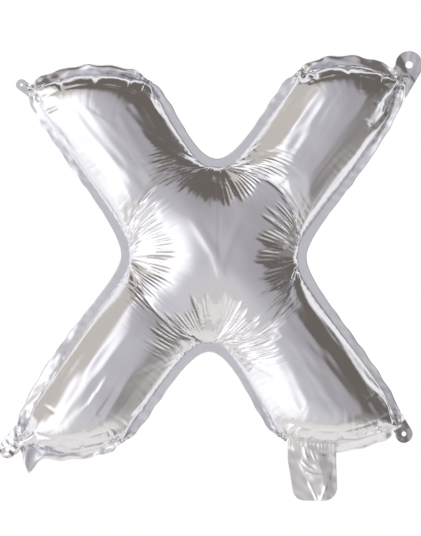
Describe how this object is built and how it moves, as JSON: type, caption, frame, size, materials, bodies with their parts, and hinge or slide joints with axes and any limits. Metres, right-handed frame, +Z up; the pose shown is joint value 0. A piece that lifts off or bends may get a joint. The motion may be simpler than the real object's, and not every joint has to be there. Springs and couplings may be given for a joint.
{
  "type": "letter foil balloon",
  "caption": "Inflated foil balloon in the shape of a letter X, with a sealed rim, a filling neck below one leg and punched hanging ears at its corners.",
  "frame": {"origin": "middle of the letter, in the seam plane inside the inflated envelope", "axes": "+Z up the letter, +X to the letter's right as it is read, -Y out of its front"},
  "size_m": [0.382, 0.0822, 0.4048],
  "materials": {
    "silver_foil": "mirror-bright metallised film",
    "welded_foil": "bright metallised film, dulled and puckered by the heat weld",
    "clear_valve_film": "clear glossy film"
  },
  "bodies": {
    "root": {"front_panel": "silver_foil", "rear_panel": "silver_foil", "sealed_rim": "welded_foil", "neck_front_ply": "welded_foil", "neck_rear_ply": "welded_foil", "valve_film": "clear_valve_film", "upper_right_ear": "welded_foil", "lower_right_ear": "welded_foil", "lower_left_ear": "welded_foil", "upper_left_ear": "welded_foil"}
  },
  "joints": []
}
